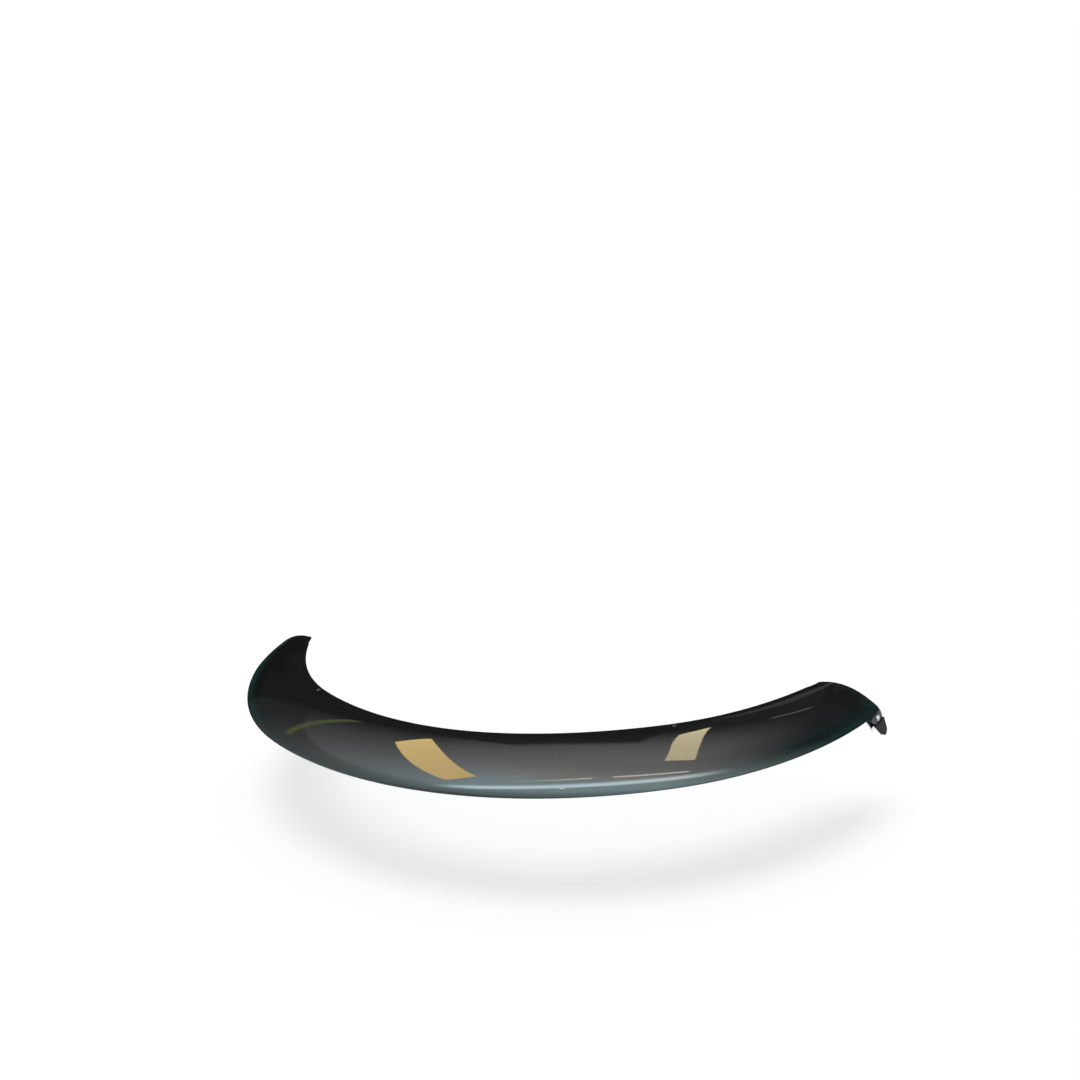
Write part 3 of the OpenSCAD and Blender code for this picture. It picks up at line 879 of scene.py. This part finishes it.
on_both(bracket_plate, "bent_bracket", BLACK_STEEL, "bracket", "bracket", 0.3)
on_both(boot, "rubber_boot", RUBBER, "bracket", "leg_boot")
on_both(nut, "clinch_insert", STAINLESS, "bracket", "clinch_nut")
on_both(jaw_plate, "jaw_plate", BRIGHT_STEEL, "jaw", "clamp_jaw", 0.3)
on_both(clamp_pad, "grip_pad", RUBBER, "jaw", "jaw_pad")
on_both(socket_screw, "socket_screw", STAINLESS, "screw", "clamp_screw")
on_both(lambda: put(ring_washer(2.55, HEAD_D / 2, 1.0), along_x(HEAD_X, CLAMP_Y, CLAMP_Z)),
        "slip_washer", WHITE_PLASTIC, "screw", "thrust_washer")
on_both(retaining_clip, "spring_clip", STAINLESS, "screw", "screw_clip")

spots = [(s * x, y) for x, y in BOSSES for s in (1, -1)]
for name, make, paint, slot, cad in (
    ("pan_screws", fixing_screw, STAINLESS, "stainless", "fixing_screws"),
    ("flat_washers", lambda x, y: put(ring_washer(2.05, 5.5, 1.0),
                                      Matrix.Translation((x, y, TAB_Z - STEEL_T - 1.05))),
     STAINLESS, "stainless", "fixing_washers"),
    ("brass_inserts", insert_sleeve, BRASS, "brass", "boss_inserts"),
):
    piece = join(name, [make(x, y) for x, y in spots])
    tidy(piece, 45.0)
    dress(piece, paint)
    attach(piece, "shield")
    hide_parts(cad)


# ---------------------------------------------------------------- stage, light and camera
def staged_mesh(name, verts, faces, material, **visible):
    mesh = bpy.data.meshes.new(name)
    mesh.from_pydata(verts, [], faces)
    mesh.materials.append(material)
    obj = bpy.data.objects.new(name, mesh)
    bpy.context.scene.collection.objects.link(obj)
    for key, value in visible.items():
        setattr(obj, f"visible_{key}", value)
    return obj


FLOOR_Z = -0.15
FLOOR_SEEN = 0.59
FLOOR_GREY = 0.5
ROOM_LIGHT = 0.55


def floor_material():
    m = bpy.data.materials.new("floor")
    m.use_nodes = True
    t = m.node_tree
    t.nodes.clear()
    out = node(t, "ShaderNodeOutputMaterial")
    add = node(t, "ShaderNodeAddShader")
    glow = node(t, "ShaderNodeEmission")
    soft = node(t, "ShaderNodeBsdfDiffuse")
    soft.inputs["Color"].default_value = (FLOOR_GREY, FLOOR_GREY, FLOOR_GREY, 1)
    path = node(t, "ShaderNodeLightPath")
    seen = node(t, "ShaderNodeMath", operation="MAXIMUM")
    seen2 = node(t, "ShaderNodeMath", operation="MAXIMUM")
    power = node(t, "ShaderNodeMath", operation="MULTIPLY")
    power.inputs[1].default_value = FLOOR_SEEN
    link(t, path, "Is Camera Ray", seen, 0)
    link(t, path, "Is Glossy Ray", seen, 1)
    link(t, seen, 0, seen2, 0)
    link(t, path, "Is Transmission Ray", seen2, 1)
    link(t, seen2, 0, power, 0)
    link(t, power, 0, glow, "Strength")
    link(t, glow, 0, add, 0)
    link(t, soft, 0, add, 1)
    link(t, add, 0, out, "Surface")
    return m


W = 6.0
staged_mesh("floor", [(-W, -W, FLOOR_Z), (W, -W, FLOOR_Z), (W, W, FLOOR_Z), (-W, W, FLOOR_Z)],
            [(0, 1, 2, 3)], floor_material())

world = bpy.data.worlds.new("world")
bpy.context.scene.world = world
world.use_nodes = True
wt = world.node_tree
wt.nodes.clear()
w_out = node(wt, "ShaderNodeOutputWorld")
w_mix = node(wt, "ShaderNodeMixShader")
w_seen = node(wt, "ShaderNodeBackground")
w_seen.inputs["Color"].default_value = (1, 1, 1, 1)
w_light = node(wt, "ShaderNodeBackground")
w_light.inputs["Color"].default_value = (0.97, 0.98, 1.0, 1)
w_light.inputs["Strength"].default_value = ROOM_LIGHT
w_path = node(wt, "ShaderNodeLightPath")
w_a = node(wt, "ShaderNodeMath", operation="MAXIMUM")
w_b = node(wt, "ShaderNodeMath", operation="MAXIMUM")
link(wt, w_path, "Is Camera Ray", w_a, 0)
link(wt, w_path, "Is Glossy Ray", w_a, 1)
link(wt, w_a, 0, w_b, 0)
link(wt, w_path, "Is Transmission Ray", w_b, 1)
link(wt, w_b, 0, w_mix, 0)
link(wt, w_light, 0, w_mix, 1)
link(wt, w_seen, 0, w_mix, 2)
link(wt, w_mix, 0, w_out, "Surface")

CENTRE = Vector((0.0, 0.12, 0.02))


def direction(az, el):
    """Unit vector; azimuth 0 is +Y and 90 is +X."""
    az, el = math.radians(az), math.radians(el)
    return Vector((math.sin(az) * math.cos(el), math.cos(az) * math.cos(el), math.sin(el)))


def flat_emitter(name, colour, strength):
    m = bpy.data.materials.new(name)
    m.use_nodes = True
    t = m.node_tree
    t.nodes.clear()
    out = node(t, "ShaderNodeOutputMaterial")
    e = node(t, "ShaderNodeEmission")
    e.inputs["Color"].default_value = (*colour, 1)
    e.inputs["Strength"].default_value = strength
    link(t, e, 0, out, "Surface")
    return m


GLOSS_ONLY = {"camera": False, "diffuse": False, "transmission": False, "shadow": False,
              "volume_scatter": False}


def card(name, corners, colour, strength, distance=58.0):
    """A glowing or black card, given by (azimuth, elevation) corners; only gloss sees it."""
    verts = [tuple(CENTRE + direction(*c) * distance) for c in corners]
    face = tuple(range(len(verts)))
    return staged_mesh(name, verts, [face], flat_emitter(name, colour, strength), **GLOSS_ONLY)


def smooth(x, low, high):
    x = min(1.0, max(0.0, (x - low) / (high - low)))
    return x * x * (3 - 2 * x)


STRIP_ENDS = direction(122, 60), direction(-152, 29)
STRIP_NORMAL = STRIP_ENDS[0].cross(STRIP_ENDS[1]).normalized()
STRIP_MIDDLE = (STRIP_ENDS[0] + STRIP_ENDS[1]).normalized()
NEUTRAL, COOL = (1.0, 1.0, 0.97), (0.82, 1.04, 1.1)


def studio_glow(az, el):
    """The light that gloss sees from a direction: a large soft source in front, a bright strip in
    it, an even top and a dark backdrop behind the part. Its constants are fitted."""
    behind = 0.05 + 2.2 * smooth(el, 50, 90)
    if -62 < az < -18:
        behind *= 0.12 + 0.88 * smooth(el, 66.5, 69.5)
    front = 2.3 + 2.4 * (1 - smooth(abs(el - 48), 5, 42))
    share = min(1.0, max(0.0, (abs(az) - 60) / 90)) ** (1.3 if el > 30 else 1.8)
    toward = direction(az, el)
    off = abs(math.degrees(math.asin(toward.dot(STRIP_NORMAL))))
    reach = math.degrees(toward.angle(STRIP_MIDDLE))
    strip_light = 8.5 * (1 - smooth(off, 1.0, 6.5)) * (1 - smooth(reach, 24, 42))
    level = behind + (front - behind) * share + strip_light
    cool = share * (1 - smooth(el, 56, 72))
    return [level * (n + (c - n) * cool) for n, c in zip(NEUTRAL, COOL)]


def studio_dome(distance=60.0, step=2):
    """The studio as gloss sees it."""
    azs = list(range(-180, 180, step))
    els = [-6 + i * 2 for i in range(49)]
    verts = [tuple(CENTRE + direction(a, e) * distance) for e in els for a in azs]
    m = bpy.data.materials.new("studio_dome")
    m.use_nodes = True
    t = m.node_tree
    t.nodes.clear()
    out = node(t, "ShaderNodeOutputMaterial")
    e = node(t, "ShaderNodeEmission")
    glow = node(t, "ShaderNodeAttribute", attribute_name="glow")
    link(t, glow, "Color", e, "Color")
    link(t, e, 0, out, "Surface")
    obj = staged_mesh("studio_dome", verts, grid_faces(len(els), len(azs)), m, **GLOSS_ONLY)
    data = obj.data.attributes.new("glow", "FLOAT_COLOR", "POINT")
    data.data.foreach_set("color", [v for e in els for a in azs for v in (*studio_glow(a, e), 1.0)])
    return obj


studio_dome()

# Panels that only gloss sees, aimed so that the front view shows them where they belong
card("warm_panel_left", [(-82, 50), (-71, 55), (-141, 56), (-141, 43)], (1.0, 0.73, 0.3), 11.0)
card("warm_panel_right", [(-14, 59), (-13, 51), (70, 79), (65, 85)], (1.0, 0.87, 0.54), 9.5)
card("tube_left", [(-157, 56), (-160, 57.5), (177, 70.5), (176, 68.5)], (1.0, 0.95, 0.8), 11.0)
card("tube_right", [(166, 70.5), (167, 72.5), (120, 71.5), (121, 69.5)], (1.0, 0.95, 0.8), 11.0)
card("green_strip", [(-84, 23), (-84, 25.5), (-61, 40), (-62, 37.5)], (0.8, 1.0, 0.4), 0.85)
card("grey_strip", [(-1, 51), (-1, 52.5), (8, 50), (8, 48.5)], (1, 1, 1), 1.1)
card("small_lamp", [(178, 45), (178, 46.2), (179.6, 46.2), (179.6, 45)], (1, 1, 1), 26.0)
card("grey_panel", [(-20, 25), (-20, 35), (-14, 36), (-14, 24)], (1, 1, 1), 0.25)

# A dark flag just over the floor, so that the gloss on the far flank stays dark
FLAG_Z = FLOOR_Z + 0.002
FLAG_CORNERS = [(-95, 0.75), (-95, 5.9), (-50, 8.0), (0, 5.9), (0, 0.75), (-50, 0.6)]
flag = [direction(a, 0) * r for a, r in FLAG_CORNERS]
staged_mesh("floor_flag", [(v.x, v.y, FLAG_Z) for v in flag], [tuple(range(len(flag)))],
            flat_emitter("floor_flag", (0.3, 0.8, 0.75), 0.04), **GLOSS_ONLY)


def soft_sun(name, az, el, strength, spread):
    """A wide soft lamp, the same all over the floor; gloss sees the dome instead."""
    light = bpy.data.lights.new(name, "SUN")
    light.energy = strength
    light.angle = math.radians(spread)
    obj = bpy.data.objects.new(name, light)
    bpy.context.scene.collection.objects.link(obj)
    obj.location = CENTRE + direction(az, el) * 2
    obj.rotation_euler = direction(az, el).to_track_quat("Z", "Y").to_euler()
    obj.visible_glossy = False
    return obj


soft_sun("top_light", 180, 84, 1.0, 30)

CAM_AZ, CAM_EL, CAM_ROLL = 29.55, 20.99, -7.94
CAM_DISTANCE = 3.61692
CAM_TARGET = Vector((-0.25598, 0.7866, 0.0))


def make_camera():
    az, el, roll = (math.radians(a) for a in (CAM_AZ, CAM_EL, CAM_ROLL))
    forward = Vector((-math.sin(az) * math.cos(el), math.cos(az) * math.cos(el), -math.sin(el)))
    right = Vector((math.cos(az), math.sin(az), 0))
    up = right.cross(forward)
    right, up = (math.cos(roll) * right + math.sin(roll) * up,
                 -math.sin(roll) * right + math.cos(roll) * up)
    data = bpy.data.cameras.new("camera")
    data.lens = 76.667
    data.sensor_width = 36.0
    data.clip_start, data.clip_end = 0.1, 50.0
    cam = bpy.data.objects.new("camera", data)
    bpy.context.scene.collection.objects.link(cam)
    rot = Matrix((right, up, -forward)).transposed()
    cam.matrix_world = Matrix.Translation(CAM_TARGET - forward * CAM_DISTANCE) @ rot.to_4x4()
    bpy.context.scene.camera = cam


make_camera()
bpy.context.scene.view_settings.view_transform = "Standard"
